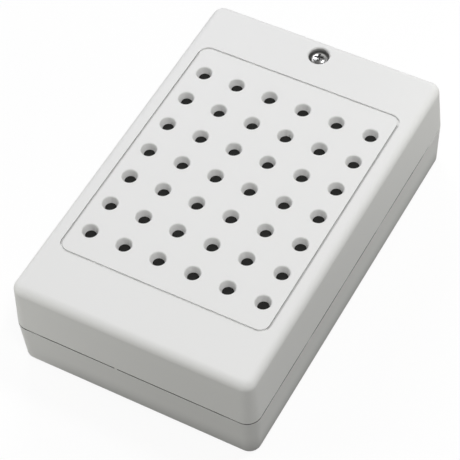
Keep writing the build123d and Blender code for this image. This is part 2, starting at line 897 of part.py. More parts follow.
def coupling_capacitor():
    return Pos(coupling_x, coupling_y, 0) * can(coupling_radius, coupling_height)


def disc_places():
    """Middle of each disc capacitor on the board."""
    half = suppressor_spacing / 2
    return [
        (suppressor_x - half, suppressor_y),
        (suppressor_x + half, suppressor_y),
        (timing_disc_x, timing_disc_y),
    ]


def disc_capacitors():
    low = board_top + disc_standoff
    disc = Rot(90, 0, 0) * Cylinder(disc_radius, disc_thickness)
    disc = fillet(disc.edges().filter_by(GeomType.CIRCLE), disc_thickness * 0.35)
    return as_node([Pos(x, y, low + disc_radius) * disc for x, y in disc_places()])


def radial_leg(height):
    return post(wire_radius, board_top + glue_gap, board_top + height)


def capacitor_legs():
    legs = []
    cans = ((reservoir_x, reservoir_y, reservoir_radius), (coupling_x, coupling_y, coupling_radius))
    for x, y, radius in cans:
        legs += [Pos(x + side * radius * 0.45, y, 0) * radial_leg(can_standoff) for side in (-1, 1)]
    drop = disc_radius - math.sqrt(disc_radius ** 2 - (lead_pitch / 2) ** 2)
    disc_leg = radial_leg(disc_standoff + drop - 2 * glue_gap)
    for x, y in disc_places():
        legs += [Pos(x + side * lead_pitch / 2, y, 0) * disc_leg for side in (-1, 1)]
    return as_node(legs)


def axial_row(count, pitch, middle):
    """Middle of each part in a row of axial parts, along X."""
    return [middle + pitch * (i - (count - 1) / 2) for i in range(count)]


def axial_body(radius, length, waist):
    """Body of an axial part, lying along Y, with its ends fuller than its waist."""
    half = length / 2
    profile = [
        (0, -half),
        (radius * 0.8, -half),
        (radius, -half + 0.3),
        (radius, -half + 1.3),
        (radius - waist, -half + 1.6),
        (radius - waist, half - 1.6),
        (radius, half - 1.3),
        (radius, half - 0.3),
        (radius * 0.8, half),
        (0, half),
    ]
    body = Rot(90, 0, 0) * turned(profile)
    return Pos(0, 0, board_top + axial_standoff + radius) * body


def axial_legs(radius, length):
    """The two bent wires of an axial part."""
    level = board_top + axial_standoff + radius
    legs = []
    for side in (-1, 1):
        points = [
            (0, side * (length / 2 + glue_gap), level),
            (0, side * axial_span / 2, level),
            (0, side * axial_span / 2, board_top + glue_gap),
        ]
        path = FilletPolyline(*points, radius=bend_radius)
        ring = Plane(origin=path @ 0, z_dir=path % 0) * Circle(wire_radius)
        legs.append(sweep(ring, path=path))
    return legs


def resistors():
    body = axial_body(resistor_radius, resistor_length, 0.2)
    return as_node([Pos(x, resistor_y, 0) * body for x in axial_row(resistor_count, resistor_pitch, 0)])


def resistor_legs():
    row = axial_row(resistor_count, resistor_pitch, 0)
    legs = axial_legs(resistor_radius, resistor_length)
    return as_node([Pos(x, resistor_y, 0) * leg for x in row for leg in legs])


def rectifier_diodes():
    body = axial_body(diode_radius, diode_length, 0.0)
    return as_node([Pos(x, diode_y, 0) * body for x in axial_row(diode_count, diode_pitch, diode_x)])


def diode_legs():
    row = axial_row(diode_count, diode_pitch, diode_x)
    legs = axial_legs(diode_radius, diode_length)
    return as_node([Pos(x, diode_y, 0) * leg for x in row for leg in legs])


def volume_trimmer():
    half = trimmer_size / 2
    low = board_top + glue_gap
    top = board_top + trimmer_height
    body = block(-half, half, -half, half, low, top)
    body = chamfer(body.edges().filter_by(Axis.Z), 0.8)
    well = post(rotor_radius + running_fit, top - rotor_height, top + overcut)
    return Pos(trimmer_x, trimmer_y, 0) * (body - well)


def volume_rotor():
    top = board_top + trimmer_height
    low = top - rotor_height + running_fit
    disc = post(rotor_radius, low, top + 0.4)
    slot = cross_recess(top + 0.4, rotor_radius * 1.5, rotor_sink)
    arrow = Pos(rotor_radius * 0.8, 0, 0) * post(0.35, top, top + overcut)
    return Pos(trimmer_x, trimmer_y, 0) * (disc - slot - arrow)


def tune_switch():
    half = switch_length / 2
    low = board_top + glue_gap
    top = board_top + switch_height
    body = block(-half, half, -switch_width / 2, switch_width / 2, low, top)
    reach = slider_travel + slider_width / 2 + clearance
    side = slider_depth / 2 + clearance
    window = block(-slider_travel / 2 - slider_width / 2 - clearance, reach - slider_travel / 2,
                   -side, side, top - switch_window_depth, top + overcut)
    return Pos(switch_x, switch_y, 0) * (body - window)


def tune_slider():
    """Slider at one end of its window."""
    top = board_top + switch_height
    x = -slider_travel / 2
    knob = block(x - slider_width / 2, x + slider_width / 2, -slider_depth / 2, slider_depth / 2,
                 top - switch_window_depth + running_fit, top + slider_height)
    return Pos(switch_x, switch_y, 0) * knob


NODES = {
    "front_cover": front_cover,
    "rear_case": rear_case,
    "cover_screw": cover_screw,
    "speaker_basket": speaker_basket,
    "speaker_gasket": speaker_gasket,
    "speaker_top_plate": speaker_top_plate,
    "speaker_magnet": speaker_magnet,
    "speaker_yoke": speaker_yoke,
    "coil_former": coil_former,
    "coil_winding": coil_winding,
    "speaker_spider": speaker_spider,
    "speaker_surround": speaker_surround,
    "speaker_cone": speaker_cone,
    "speaker_dust_cap": speaker_dust_cap,
    "speaker_tag_board": speaker_tag_board,
    "speaker_tags": speaker_tags,
    "tag_rivet": tag_rivet,
    "speaker_screws": speaker_screws,
    "speaker_lead_red": speaker_lead_red,
    "speaker_lead_black": speaker_lead_black,
    "circuit_board": circuit_board,
    "board_screws": board_screws,
    "terminal_block": terminal_block,
    "terminal_pins": terminal_pins,
    "melody_chip": melody_chip,
    "melody_chip_legs": melody_chip_legs,
    "output_transistor": output_transistor,
    "transistor_legs": transistor_legs,
    "reservoir_capacitor": reservoir_capacitor,
    "coupling_capacitor": coupling_capacitor,
    "disc_capacitors": disc_capacitors,
    "capacitor_legs": capacitor_legs,
    "resistors": resistors,
    "resistor_legs": resistor_legs,
    "rectifier_diodes": rectifier_diodes,
    "diode_legs": diode_legs,
    "volume_trimmer": volume_trimmer,
    "volume_rotor": volume_rotor,
    "tune_switch": tune_switch,
    "tune_slider": tune_slider,
}

os.makedirs("parts", exist_ok=True)
for name, make in NODES.items():
    export_step(make(), f"parts/{name}.step")
for number, way_x in enumerate(way_places(), start=1):
    export_step(terminal_screw(way_x), f"parts/terminal_screw_{number}.step")
    export_step(terminal_clamp(way_x), f"parts/terminal_clamp_{number}.step")
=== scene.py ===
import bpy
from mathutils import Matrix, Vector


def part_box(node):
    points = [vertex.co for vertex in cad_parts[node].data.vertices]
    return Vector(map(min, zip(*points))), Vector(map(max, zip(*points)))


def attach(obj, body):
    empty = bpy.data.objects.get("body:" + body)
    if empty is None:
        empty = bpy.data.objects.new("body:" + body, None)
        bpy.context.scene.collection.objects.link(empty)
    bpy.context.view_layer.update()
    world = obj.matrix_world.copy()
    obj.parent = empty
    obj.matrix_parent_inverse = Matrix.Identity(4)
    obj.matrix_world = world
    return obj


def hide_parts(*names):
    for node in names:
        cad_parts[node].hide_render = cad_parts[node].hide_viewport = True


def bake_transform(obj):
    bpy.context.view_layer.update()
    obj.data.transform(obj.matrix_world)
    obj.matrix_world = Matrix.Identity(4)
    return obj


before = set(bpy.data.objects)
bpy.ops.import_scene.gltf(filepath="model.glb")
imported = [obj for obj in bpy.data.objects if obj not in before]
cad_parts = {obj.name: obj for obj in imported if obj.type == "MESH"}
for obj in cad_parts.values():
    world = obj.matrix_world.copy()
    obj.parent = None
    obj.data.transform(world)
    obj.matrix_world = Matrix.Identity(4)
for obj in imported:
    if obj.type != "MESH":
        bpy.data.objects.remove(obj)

"""Dressed model of a wired door chime.

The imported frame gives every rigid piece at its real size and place. This script adds the finishes,
the cloth behind the sound holes, the threaded cover screw, the loudspeaker's braids, glue and
solder, and the studio with the camera. Colour bands and the cans' stripes are painted in the
finishes. Lengths are in metres, and mm() and MM turn millimetres into them.
"""

import logging
import math
from dataclasses import dataclass
from enum import Enum
from functools import cached_property

import bmesh
import bpy
from mathutils import Matrix, Vector

logging.basicConfig(level=logging.INFO, format="%(message)s")
log = logging.getLogger("door_chime")

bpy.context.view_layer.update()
MM = 0.001
Colour = tuple[float, float, float]
Triple = tuple[float, float, float]
Span = tuple[float, float]
Socket = bpy.types.NodeSocket


def mm(*lengths: float) -> tuple[float, ...]:
    """Converts millimetres to metres."""
    return tuple(length * MM for length in lengths)


class Body(Enum):
    """Bodies of the frame that new pieces ride on."""

    CASE = "case"
    COVER = "cover"
    SCREW = "screw"
    CONE = "cone"


class Effect(Enum):
    """Shared surface effects, each one a shader node group."""

    BLOTCHES = "surface_blotches"
    GRAIN = "moulded_grain"
    BRUSHING = "plating_brushwork"
    WEAVE = "cloth_weave"
    FIBRES = "paper_fibres"


# Shader helpers


def emptied(owner: bpy.types.Material | bpy.types.World) -> bpy.types.NodeTree:
    """Empties the nodes of a material or a world.

    Args:
        owner: What the nodes belong to.

    Returns:
        Its node tree.
    """
    owner.use_nodes = True
    owner.node_tree.nodes.clear()
    return owner.node_tree


class Tree:
    """Thin helper round a node tree, to add and link nodes in few words."""

    def __init__(self, tree: bpy.types.NodeTree) -> None:
        """Keeps the tree that nodes are added to."""
        self.tree = tree

    def add(self, kind: str, inputs: dict[int | str, object] | None = None, **settings: object) -> bpy.types.Node:
        """Adds a node.

        Args:
            kind: The node's type, without the ShaderNode prefix.
            inputs: Values of its inputs by name or index: sockets, colours or numbers.
            settings: Attributes to set on it.

        Returns:
            The new node.
        """
        node = self.tree.nodes.new("ShaderNode" + kind)
        for name, value in settings.items():
            setattr(node, name, value)
        for key, value in (inputs or {}).items():
            if isinstance(value, Socket):
                self.link(value, node.inputs[key])
            elif isinstance(node.inputs[key], bpy.types.NodeSocketColor):
                node.inputs[key].default_value = (*value, 1.0)
            else:
                node.inputs[key].default_value = value
        return node

    def link(self, source: Socket, target: Socket) -> None:
        """Joins an output to an input."""
        self.tree.links.new(source, target)

    def maths(self, operation: str, first: object, second: object = 0.0, clamp: bool = False) -> Socket:
        """Does one of Blender's operations on sockets or numbers, kept between 0 and 1 if clamped."""
        return self.add("Math", {0: first, 1: second}, operation=operation, use_clamp=clamp).outputs[0]

    def product(self, first: object, second: object) -> Socket:
        """Multiplies two sockets or numbers."""
        return self.maths("MULTIPLY", first, second)

    def less(self, first: object, second: object) -> Socket:
        """Subtracts the second socket or number from the first."""
        return self.maths("SUBTRACT", first, second)

    def ramp(self, value: object, start: object, width: float) -> Socket:
        """Rises from 0 to 1 over a width, from where the value equals the start."""
        return self.maths("DIVIDE", self.less(value, start), width, clamp=True)

    def between(self, value: Socket, low: float, high: float, soft: float) -> Socket:
        """Mask that is 1 from low to high and fades inwards over soft at each limit."""
        return self.product(self.ramp(value, low, soft), self.ramp(high, value, soft))

    def split(self, vector: Socket) -> tuple[Socket, ...]:
        """Splits a vector into its X, Y and Z."""
        return tuple(self.add("SeparateXYZ", {0: vector}).outputs)

    def length(self, x: Socket, y: Socket) -> Socket:
        """Length of a flat vector."""
        return self.maths("SQRT", self.maths("ADD", self.product(x, x), self.product(y, y)))

    def mix(self, share: object, first: object, second: object) -> Socket:
        """Mixes two colours, with a share of the second one."""
        # The colour form of the node has its colours at inputs 6 and 7, and its result at output 2.
        return self.add("Mix", {0: share, 6: first, 7: second}, data_type="RGBA").outputs[2]

    def noise(self, vector: Socket, scale: object, detail: float = 2.0) -> Socket:
        """Reads a noise texture from 0 to 1 at a vector. Its detail is its octaves."""
        return self.add("TexNoise", {"Vector": vector, "Scale": scale, "Detail": detail}).outputs["Fac"]

    def stretched(self, vector: Socket, scale: Triple) -> Socket:
        """Scales a vector by axis, to stretch a pattern."""
        return self.add("Mapping", {"Vector": vector, "Scale": scale}).outputs[0]

    def seen_by(self, *rays: str) -> Socket:
        """Is 1 for some kinds of ray and 0 for the others.

        Args:
            rays: The kinds, such as Camera.

        Returns:
            The mask's socket.
        """
        path = self.add("LightPath")
        seen = path.outputs[f"Is {rays[0]} Ray"]
        for ray in rays[1:]:
            seen = self.maths("MAXIMUM", seen, path.outputs[f"Is {ray} Ray"])
        return seen

    def blend(self, share: Socket, first: bpy.types.Node, second: bpy.types.Node, output: str) -> None:
        """Blends two shaders, with a share of the second one, into an output node of a type."""
        node = self.add("MixShader", {0: share, 1: first.outputs[0], 2: second.outputs[0]})
        self.add(output, {"Surface": node.outputs[0]})


class Skin(Tree):
    """Tree of a material: where its pattern is read and its colour so far."""

    def __init__(self, material: bpy.types.Material) -> None:
        """Starts the material's nodes afresh, with no colour yet."""
        super().__init__(emptied(material))
        self.colour: Socket | None = None

    @cached_property
    def place(self) -> Socket:
        """Object coordinates."""
        return self.add("TexCoord").outputs["Object"]

    @cached_property
    def axes(self) -> tuple[Socket, ...]:
        """X, Y and Z of the object coordinates."""
        return self.split(self.place)

    def around(self, axis: Span) -> tuple[Socket, Socket]:
        """X and Y measured from a vertical axis."""
        return self.less(self.axes[0], axis[0]), self.less(self.axes[1], axis[1])

    def effect(self, effect: Effect, **inputs: object) -> bpy.types.Node:
        """Places a shared effect, with values of its inputs by name, and returns its node."""
        return self.add("Group", {"Vector": self.place, **inputs}, node_tree=bpy.data.node_groups[effect.value])

    def paint(self, share: Socket, colour: Colour) -> None:
        """Mixes a colour over what is there."""
        self.colour = self.mix(share, self.colour, colour)

    def mark(self, effect: Effect, share: float, colour: Colour, **inputs: object) -> Socket:
        """Paints what a shared effect masks.

        Args:
            effect: Which one.
            share: How much of the colour shows there.
            colour: The colour.
            inputs: Values of its inputs by name.

        Returns:
            The effect's height.
        """
        node = self.effect(effect, **inputs)
        self.paint(self.product(node.outputs["Mask"], share), colour)
        return node.outputs["Height"]


def new_group(
    effect: Effect, inputs: dict[str, object], outputs: tuple[str, ...]
) -> tuple[Tree, bpy.types.NodeOutputs, bpy.types.NodeInputs]:
    """Starts a shader node group that reads a vector.

    Args:
        effect: Its name.
        inputs: Its other inputs, each with its default, a colour with its alpha or a number.
        outputs: Its outputs, all numbers apart from one named Colour.

    Returns:
        The tree, the sockets that it is given and the sockets that it makes.
    """
    group = bpy.data.node_groups.new(effect.value, "ShaderNodeTree")
    group.interface.new_socket("Vector", in_out="INPUT", socket_type="NodeSocketVector")
    for name, default in inputs.items():
        kind = "NodeSocketColor" if isinstance(default, tuple) else "NodeSocketFloat"
        group.interface.new_socket(name, in_out="INPUT", socket_type=kind).default_value = default
    for name in outputs:
        kind = "NodeSocketColor" if name == "Colour" else "NodeSocketFloat"
        group.interface.new_socket(name, in_out="OUTPUT", socket_type=kind)
    given, made = group.nodes.new("NodeGroupInput"), group.nodes.new("NodeGroupOutput")
    return Tree(group), given.outputs, made.inputs


def blotches_group() -> None:
    """Broad, faint changes of colour and gloss, as on any handled or moulded surface."""
    tree, given, made = new_group(
        Effect.BLOTCHES,
        {"Colour": (0.8, 0.8, 0.8, 1.0), "Shade": (0.7, 0.7, 0.7, 1.0), "Scale": 60.0, "Amount": 0.3,
         "Roughness": 0.4, "Spread": 0.06},
        ("Colour", "Roughness"),
    )
    broad = tree.noise(given["Vector"], given["Scale"], detail=3.0)
    share = tree.product(broad, given["Amount"])
    tree.link(tree.mix(share, given["Colour"], given["Shade"]), made["Colour"])
    change = tree.product(tree.less(broad, 0.5), given["Spread"])
    tree.link(tree.maths("ADD", given["Roughness"], change), made["Roughness"])


def grain_group() -> None:
    """Fine spark-eroded grain of a mould over a slow ripple, as a height."""
    tree, given, made = new_group(Effect.GRAIN, {"Scale": 4500.0, "Ripple": 0.25}, ("Height",))
    fine = tree.noise(given["Vector"], given["Scale"], detail=4.0)
    slow = tree.noise(given["Vector"], scale=110.0, detail=1.0)
    tree.link(tree.maths("ADD", fine, tree.product(slow, given["Ripple"])), made["Height"])


def brushing_group() -> None:
    """Fine directional marks in a plated or rolled metal, as a height, and a mask of its darker spots."""
    spots_from = 0.62
    tree, given, made = new_group(Effect.BRUSHING, {}, ("Height", "Mask"))
    lines = tree.noise(tree.stretched(given["Vector"], (400.0, 9000.0, 9000.0)), scale=1.0)
    spots = tree.noise(given["Vector"], scale=900.0, detail=3.0)
    tree.link(lines, made["Height"])
    tree.link(tree.maths("GREATER_THAN", spots, spots_from), made["Mask"])


def weave_group() -> None:
    """Over and under weave of a thin cloth, as a height and a mask of its raised threads."""
    tree, given, made = new_group(Effect.WEAVE, {"Pitch": 0.0004}, ("Height", "Mask"))
    x, y, _ = tree.split(given["Vector"])
    turns = tree.maths("DIVIDE", 2 * math.pi, given["Pitch"])
    warp = tree.maths("SINE", tree.product(x, turns))
    weft = tree.maths("SINE", tree.product(y, turns))
    height = tree.product(tree.maths("ADD", tree.product(warp, weft), 1.0), 0.5)
    tree.link(height, made["Height"])
    tree.link(tree.maths("POWER", height, 2.0), made["Mask"])


def fibres_group() -> None:
    """Short crossed fibres of pressed paper, as a height and a mask of pale fibres."""
    pale_from, contrast = 0.62, 6.0
    tree, given, made = new_group(Effect.FIBRES, {}, ("Height", "Mask"))
    along = tree.noise(tree.stretched(given["Vector"], (900.0, 5200.0, 3000.0)), scale=1.0, detail=3.0)
    across = tree.noise(tree.stretched(given["Vector"], (5200.0, 900.0, 3000.0)), scale=1.0, detail=3.0)
    height = tree.maths("MAXIMUM", along, across)
    tree.link(height, made["Height"])
    tree.link(tree.maths("MULTIPLY", tree.less(height, pale_from), contrast, clamp=True), made["Mask"])


def build_effects() -> None:
    """Builds every shared effect once."""
    for make in (blotches_group, grain_group, brushing_group, weave_group, fibres_group):
        make()


# Finishes


@dataclass(frozen=True)
class Finish:
    """A surface finish: name, colour and gloss. Each kind adds its own pattern, or else has the fine grain."""

    name: str
    colour: Colour
    shade: Colour
    roughness: float = 0.45
    spread: float = 0.08
    blotch_scale: float = 60.0
    blotch_amount: float = 0.5
    metallic: float = 0.0
    coat: float = 0.0
    coat_roughness: float = 0.12
    ior: float = 1.5
    relief: float = 0.004 * MM

    def pattern(self, skin: Skin) -> Socket:
        """Paints the kind's own pattern.

        Args:
            skin: The material's tree.

        Returns:
            The height.
        """
        return skin.effect(Effect.GRAIN).outputs["Height"]

    def metallic_mask(self, skin: Skin) -> Socket | float:
        """How metallic the surface is."""
        return self.metallic

    def build(self) -> bpy.types.Material:
        """Builds the material.

        Returns:
            The material.
        """
        material = bpy.data.materials.new(self.name + "_finish")
        skin = Skin(material)
        base = skin.effect(Effect.BLOTCHES, Colour=self.colour, Shade=self.shade, Scale=self.blotch_scale,
                           Amount=self.blotch_amount, Roughness=self.roughness, Spread=self.spread)
        skin.colour = base.outputs["Colour"]
        # The pattern paints the skin's colour, so it comes before the shader.
        bump = skin.add("Bump", {"Strength": 1.0, "Distance": self.relief, "Height": self.pattern(skin)})
        shader = skin.add("BsdfPrincipled", {
            "Base Color": skin.colour,
            "Roughness": base.outputs["Roughness"],
            "Metallic": self.metallic_mask(skin),
            "Coat Weight": self.coat,
            "Coat Roughness": self.coat_roughness,
            "IOR": self.ior,
            "Normal": bump.outputs["Normal"],
        })
        skin.add("OutputMaterial", {"Surface": shader.outputs[0]})
        return material


@dataclass(frozen=True)
class Moulded(Finish):
    """Anything moulded, pressed or painted, with a fine grain."""


@dataclass(frozen=True)
class Hollow:
    """A box round a hollow of the moulding whose faces get painted shade.

    The share is the painted shade's at the bottom, and it fades out over the topmost part.
    """

    low: Triple
    high: Triple
    share: float
    fade: float = 0.05 * MM
    edge: float = 0.02 * MM

    def painted_shade(self, skin: Skin) -> Socket:
        """Share of its painted shade at each point.

        Args:
            skin: The material's tree.

        Returns:
            The share's socket.
        """
        # Painted shade: full at the bottom of the hollow and fading out over its topmost part.
        share = skin.product(skin.ramp(self.high[2], skin.axes[2], self.fade), self.share)
        for value, low, high in zip(skin.axes, self.low, self.high):
            share = skin.product(skin.between(value, low, high, self.edge), share)
        return share


@dataclass(frozen=True)
class CasePlastic(Moulded):
    """White plastic of the case, with painted shade in its parting gap, its hollows and along its foot.

    The gap's painted shade is patchy and thins out towards the far end, and the foot's thins out to the left.
    """

    half: Span = mm(35.14, 55.49)
    corner: float = 3.9 * MM
    edge: float = 0.02 * MM
    wall_fade: float = 0.2 * MM
    gap: Span = mm(14.21, 14.59)
    gap_edge: float = 0.01 * MM
    gap_reach: float = 0.55 * MM
    gap_share: float = 1.2
    nib: Span = mm(-4.67, -3.93)
    nib_end: float = -50.0 * MM
    thin_from: float = -20.0 * MM
    thin_length: float = 80.0 * MM
    patch_scale: float = 110.0
    patch_contrast: float = 3.0
    foot_top: float = 8.0 * MM
    foot_share: float = 0.50
    foot_reach: float = 1.3 * MM
    foot_from: float = -33.0 * MM
    foot_rise: float = 16.0 * MM
    # Colour of the painted shade in the hollows, the parting gap and along the foot.
    painted_shade: Colour = (0.035, 0.035, 0.032)
    # Painted shade in the groove's four runs, on the sound holes' walls and in the counterbore, darkest on its left.
    hollows: tuple[Hollow, ...] = (
        Hollow(mm(-30.3, -36.9, 29.3), mm(-29.4, 36.3, 29.97), 0.22),
        Hollow(mm(29.4, -36.9, 29.3), mm(30.3, 36.3, 29.97), 0.31),
        Hollow(mm(-30.3, 37.7, 29.3), mm(30.3, 38.7, 29.95), 0.05),
        Hollow(mm(-30.3, -39.3, 29.3), mm(30.3, -38.3, 29.95), 0.02),
        Hollow(mm(-28.0, -36.5, 28.2), mm(28.0, 36.5, 29.85), 0.10),
        *(Hollow(mm(-3.1, 45.9, 27.4), mm(right, 52.1, 29.95), share, fade=1.4 * MM)
          for right, share in ((3.1, 0.05), (2.2, 0.35), (1.5, 0.45), (0.7, 0.50))),
    )

    def inward(self, skin: Skin) -> Socket:
        """Distance inward from the case's outline near its walls.

        Args:
            skin: The material's tree.

        Returns:
            The distance's socket.
        """
        past = []
        for value, half in zip(skin.axes, self.half):
            away = skin.less(skin.maths("ABSOLUTE", value), half - self.corner)
            past.append(skin.maths("MAXIMUM", away, 0.0))
        return skin.less(self.corner, skin.length(*past))

    def gap_painted_shade(self, skin: Skin, inward: Socket) -> Socket:
        """Share of the painted shade in the parting gap, with none on the nib.

        Args:
            skin: The material's tree.
            inward: Distance inward from the outline.

        Returns:
            The share's socket.
        """
        x, y, z = skin.axes
        # Painted shade on the faces inside the parting gap, patchy and thinner towards the far end.
        near = skin.ramp(self.gap_reach, inward, self.wall_fade)
        gap = skin.product(skin.between(z, *self.gap, self.gap_edge), near)
        nib = skin.product(skin.between(x, *self.nib, self.edge), skin.maths("LESS_THAN", y, self.nib_end))
        thinned = skin.ramp(y, self.thin_from, self.thin_length)
        patches = skin.product(skin.less(skin.noise(skin.place, self.patch_scale), 0.5), self.patch_contrast)
        left = skin.maths("ADD", skin.less(self.gap_share, thinned), patches, clamp=True)
        return skin.product(skin.product(gap, skin.less(1.0, nib)), left)

    def foot_painted_shade(self, skin: Skin, inward: Socket) -> Socket:
        """Share of the painted shade near the foot of the walls, darker towards the bottom.

        Args:
            skin: The material's tree.
            inward: Distance inward from the outline.

        Returns:
            The share's socket.
        """
        # Painted shade: darker towards the bottom of the walls and thinner to the left.
        below = skin.ramp(self.foot_top, skin.axes[2], self.foot_top)
        foot = skin.product(skin.product(below, below), self.foot_share)
        foot = skin.product(foot, skin.ramp(skin.axes[0], self.foot_from, self.foot_rise))
        return skin.product(foot, skin.ramp(self.foot_reach, inward, self.wall_fade))

    def pattern(self, skin: Skin) -> Socket:
        """Paints shade into the hollows, onto the faces inside the gap and along the foot.

        Args:
            skin: The material's tree.

        Returns:
            The height.
        """
        inward = self.inward(skin)
        shares = [hollow.painted_shade(skin) for hollow in self.hollows]
        # Painted shade: the same dark colour over the hollows, the faces in the gap and the foot.
        for share in (*shares, self.gap_painted_shade(skin, inward), self.foot_painted_shade(skin, inward)):
            skin.paint(share, self.painted_shade)
        return super().pattern(skin)


@dataclass(frozen=True)
class PlatedMetal(Finish):
    """Plated or rolled metal with fine brush marks and a slightly darker mottle."""

    metallic: float = 1.0
    relief: float = 0.0012 * MM
    mottle: float = 0.25

    def pattern(self, skin: Skin) -> Socket:
        """Adds the brush marks and the mottle."""
        return skin.mark(Effect.BRUSHING, self.mottle, self.shade)


@dataclass(frozen=True)
class DrivenHead(PlatedMetal):
    """Plated screw with painted shade in its cross recess."""

    axis: Span = mm(0.0, 49.0)
    reach: float = 1.42 * MM
    recess_shade_span: Span = mm(28.0, 29.22)
    recess_shade_fade: float = 0.25 * MM
    # Colour of the painted shade in the cross recess.
    recess_shade: Colour = (0.36, 0.36, 0.35)

    def pattern(self, skin: Skin) -> Socket:
        """Adds the plating's marks, then the painted shade in the recess.

        Args:
            skin: The material's tree.

        Returns:
            The height.
        """
        height = super().pattern(skin)
        # Painted shade: darkens the cross recess below the crown.
        inside = skin.maths("LESS_THAN", skin.length(*skin.around(self.axis)), self.reach)
        depth = skin.between(skin.axes[2], *self.recess_shade_span, self.recess_shade_fade)
        skin.paint(skin.product(inside, depth), self.recess_shade)
        return height


@dataclass(frozen=True)
class PressedPaper(Finish):
    """Pressed paper or card with short pale fibres."""

    relief: float = 0.03 * MM
    pale: Colour = (0.09, 0.09, 0.09)
    pale_share: float = 0.6

    def pattern(self, skin: Skin) -> Socket:
        """Adds the fibres."""
        return skin.mark(Effect.FIBRES, self.pale_share, self.pale)


@dataclass(frozen=True)
class WovenCloth(Finish):
    """Thin woven cloth, doped or stiffened."""

    relief: float = 0.06 * MM
    pitch: float = 0.5 * MM
    thread: Colour = (0.1, 0.1, 0.1)
    thread_share: float = 0.5

    def pattern(self, skin: Skin) -> Socket:
        """Adds the weave and its lighter threads."""
        return skin.mark(Effect.WEAVE, self.thread_share, self.thread, Pitch=self.pitch)


@dataclass(frozen=True)
class WoundWire(Finish):
    """Close turns of enamelled wire round the Z axis."""

    pitch: float = 0.16 * MM
    relief: float = 0.04 * MM
    groove_shade_share: float = 0.6

    def pattern(self, skin: Skin) -> Socket:
        """Adds one ridge for each turn, with painted shade as a dark line between turns.

        Args:
            skin: The material's tree.

        Returns:
            The height.
        """
        wave = skin.maths("SINE", skin.product(skin.axes[2], 2 * math.pi / self.pitch))
        height = skin.product(skin.maths("ADD", wave, 1.0), 0.5)
        # Painted shade: a dark line in the groove between turns.
        skin.paint(skin.product(skin.less(1.0, height), self.groove_shade_share), self.shade)
        return height


@dataclass(frozen=True)
class Banded(Finish):
    """Lacquered axial parts in a row along X, with painted bands across their length in Y.

    A band is (lowest Y, highest Y, colour), measured from the middle of the part.
    """

    middle: float = 0.0
    bands: tuple[tuple[float, float, Colour], ...] = ()
    edge: float = 0.06 * MM

    def pattern(self, skin: Skin) -> Socket:
        """Paints the bands over the lacquer.

        Args:
            skin: The material's tree.

        Returns:
            The height.
        """
        along = skin.less(skin.axes[1], self.middle)
        for low, high, paint in self.bands:
            skin.paint(skin.between(along, low, high, self.edge), paint)
        return super().pattern(skin)


@dataclass(frozen=True)
class CanSleeve(Finish):
    """Shrink sleeve of a capacitor can, with a pale stripe down one side and a bare metal top.

    The stripe's span and edge are angles round the can, in radians.
    """

    centre: Span = (0.0, 0.0)
    bare_radius: float = 3.0 * MM
    bare_depth: float = 0.3 * MM
    top: float = 18.0 * MM
    stripe: Colour = (0.55, 0.56, 0.58)
    stripe_span: Span = (1.1, 1.8)
    stripe_edge: float = 0.02
    metal: Colour = (0.70, 0.70, 0.71)

    def metallic_mask(self, skin: Skin) -> Socket:
        """Mask of the bare top inside the sleeve's turned-over edge."""
        inside = skin.maths("LESS_THAN", skin.length(*skin.around(self.centre)), self.bare_radius)
        return skin.product(inside, skin.maths("GREATER_THAN", skin.axes[2], self.top - self.bare_depth))

    def pattern(self, skin: Skin) -> Socket:
        """Paints the stripe and the bare top.

        Args:
            skin: The material's tree.

        Returns:
            The height.
        """
        x, y = skin.around(self.centre)
        stripe = skin.between(skin.maths("ARCTAN2", y, x), *self.stripe_span, self.stripe_edge)
        skin.paint(stripe, self.stripe)
        skin.paint(self.metallic_mask(skin), self.metal)
        return super().pattern(skin)


